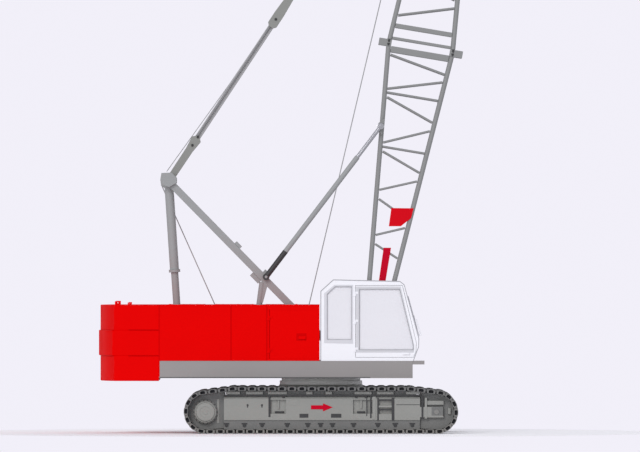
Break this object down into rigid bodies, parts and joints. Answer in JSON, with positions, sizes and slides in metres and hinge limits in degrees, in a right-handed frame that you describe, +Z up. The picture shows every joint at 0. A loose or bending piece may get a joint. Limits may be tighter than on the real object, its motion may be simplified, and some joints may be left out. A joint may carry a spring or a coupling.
{
  "type": "crawler crane",
  "caption": "Crawler crane with a slewing upper works, an operator's cab, a lattice boom on pendant stays and a hanging hook block.",
  "frame": {"origin": "on the ground, under the middle of the crane's outer box", "axes": "+X forward, the way the boom points; +Y to the crane's left; +Z up. The slewing axis is at x = 0.380 m"},
  "size_m": [8.8302, 4.3, 15.4515],
  "materials": {
    "track_shoes": "worn cast steel",
    "frame_grey": "satin grey paint",
    "dark_steel": "dark oiled steel",
    "red_paint": "glossy red paint",
    "white_paint": "glossy white paint",
    "window_glass": "clear glass",
    "seat_trim": "black vinyl and plastic",
    "rope_steel": "greased steel",
    "hook_paint": "yellow paint"
  },
  "bodies": {
    "undercarriage": {"track_right": "track_shoes", "track_left": "track_shoes", "sprockets": "dark_steel", "idlers": "dark_steel", "track_rollers": "dark_steel", "track_frames": "frame_grey", "carbody": "frame_grey", "slewing_ring": "dark_steel"},
    "upper": {"slewing_race": "dark_steel", "revolving_frame": "frame_grey", "side_decks": "frame_grey", "counterweight": "red_paint", "house_right": "red_paint", "house_left": "red_paint", "engine": "dark_steel", "left_tank": "frame_grey", "cab_shell": "white_paint", "cab_glass": "window_glass", "cab_fittings": "seat_trim", "winch_stands": "frame_grey", "gantry_legs": "frame_grey", "gantry_head": "frame_grey"},
    "cab_door": {"cab_door": "white_paint", "door_glass": "window_glass"},
    "house_door_right": {"house_door_right": "red_paint"},
    "house_door_left": {"house_door_left": "red_paint"},
    "main_drum": {"main_drum": "rope_steel"},
    "aux_drum": {"aux_drum": "rope_steel"},
    "luffing_drum": {"luffing_drum": "rope_steel"},
    "boom": {"boom_base_section": "frame_grey", "boom_base_lacing": "frame_grey", "boom_lugs": "frame_grey", "boom_top_section": "frame_grey", "boom_top_lacing": "frame_grey", "marker_plates": "red_paint", "boom_head": "frame_grey"},
    "head_sheaves": {"head_sheaves": "dark_steel"},
    "hook_line": {"hoist_falls": "rope_steel", "hook_block": "hook_paint"},
    "hook": {"hook": "hook_paint"},
    "luffing_block": {"luffing_links": "frame_grey", "luffing_sheaves": "dark_steel", "luffing_falls": "rope_steel"},
    "bridle": {"bridle": "frame_grey", "bridle_sheaves": "dark_steel", "pendants": "rope_steel"},
    "backstop_tubes": {"backstop_buffers": "dark_steel", "backstop_tubes": "frame_grey"},
    "backstop_rods": {"backstop_rods": "rope_steel"}
  },
  "joints": [
    {"name": "slew", "type": "hinge", "parent": "undercarriage", "child": "upper", "pos_m": [0.37994, 0, 1.125], "axis": [0, 0, 1], "continuous": true},
    {"name": "boom_luff", "type": "hinge", "parent": "upper", "child": "boom", "pos_m": [1.43494, 0, 1.752], "axis": [0, 1, 0], "range_deg": [0, 50.5]},
    {"name": "head_sheave_spin", "type": "hinge", "parent": "boom", "child": "head_sheaves", "pos_m": [4.13006, 0, 15.19149], "axis": [0, 1, 0], "continuous": true},
    {"name": "hook_line_plumb", "type": "hinge", "parent": "boom", "child": "hook_line", "pos_m": [4.13006, 0, 15.19149], "axis": [0, 1, 0], "range_deg": [-50.51, 0]},
    {"name": "hook_swivel", "type": "hinge", "parent": "hook_line", "child": "hook", "pos_m": [4.13006, 0, 11], "axis": [0, 0, 1], "continuous": true},
    {"name": "luffing_block_swing", "type": "hinge", "parent": "upper", "child": "luffing_block", "pos_m": [-2.91006, 0, 5.429], "axis": [0, 1, 0], "range_deg": [0, 45.08]},
    {"name": "bridle_run", "type": "slide", "parent": "luffing_block", "child": "bridle", "axis": [0.5523, 0, 0.8337], "range_m": [0, 4.6775]},
    {"name": "backstop_swing", "type": "hinge", "parent": "upper", "child": "backstop_tubes", "pos_m": [-0.80306, 0, 3.365], "axis": [0, 1, 0], "range_deg": [0, 40.77]},
    {"name": "backstop_run", "type": "slide", "parent": "backstop_tubes", "child": "backstop_rods", "axis": [0.606, 0, 0.7954], "range_m": [0, 2.1916]},
    {"name": "cab_door_hinge", "type": "hinge", "parent": "upper", "child": "cab_door", "pos_m": [1.12194, -1.7123, 2.4], "axis": [0, 0, -1], "range_deg": [0, 95]},
    {"name": "house_door_right_hinge", "type": "hinge", "parent": "upper", "child": "house_door_right", "pos_m": [-0.72806, -1.7123, 2.1], "axis": [0, 0, -1], "range_deg": [0, 110]},
    {"name": "house_door_left_hinge", "type": "hinge", "parent": "upper", "child": "house_door_left", "pos_m": [-0.72806, 1.7123, 2.1], "axis": [0, 0, 1], "range_deg": [0, 110]},
    {"name": "main_drum_spin", "type": "hinge", "parent": "upper", "child": "main_drum", "pos_m": [-0.31506, 0, 2.071], "axis": [0, 1, 0], "continuous": true},
    {"name": "aux_drum_spin", "type": "hinge", "parent": "upper", "child": "aux_drum", "pos_m": [-1.08206, 0, 2.02], "axis": [0, 1, 0], "continuous": true},
    {"name": "luffing_drum_spin", "type": "hinge", "parent": "upper", "child": "luffing_drum", "pos_m": [-1.84906, 0, 1.968], "axis": [0, 1, 0], "continuous": true}
  ],
  "couplings": [
    {"joint": "hook_line_plumb", "follows": "boom_luff", "ratio": -1},
    {"joint": "luffing_block_swing", "follows": "boom_luff", "ratio": 0.89259},
    {"joint": "bridle_run", "follows": "boom_luff", "m_per_rad": 5.3068},
    {"joint": "backstop_swing", "follows": "boom_luff", "ratio": 0.80732},
    {"joint": "backstop_run", "follows": "boom_luff", "m_per_rad": 2.4864}
  ]
}
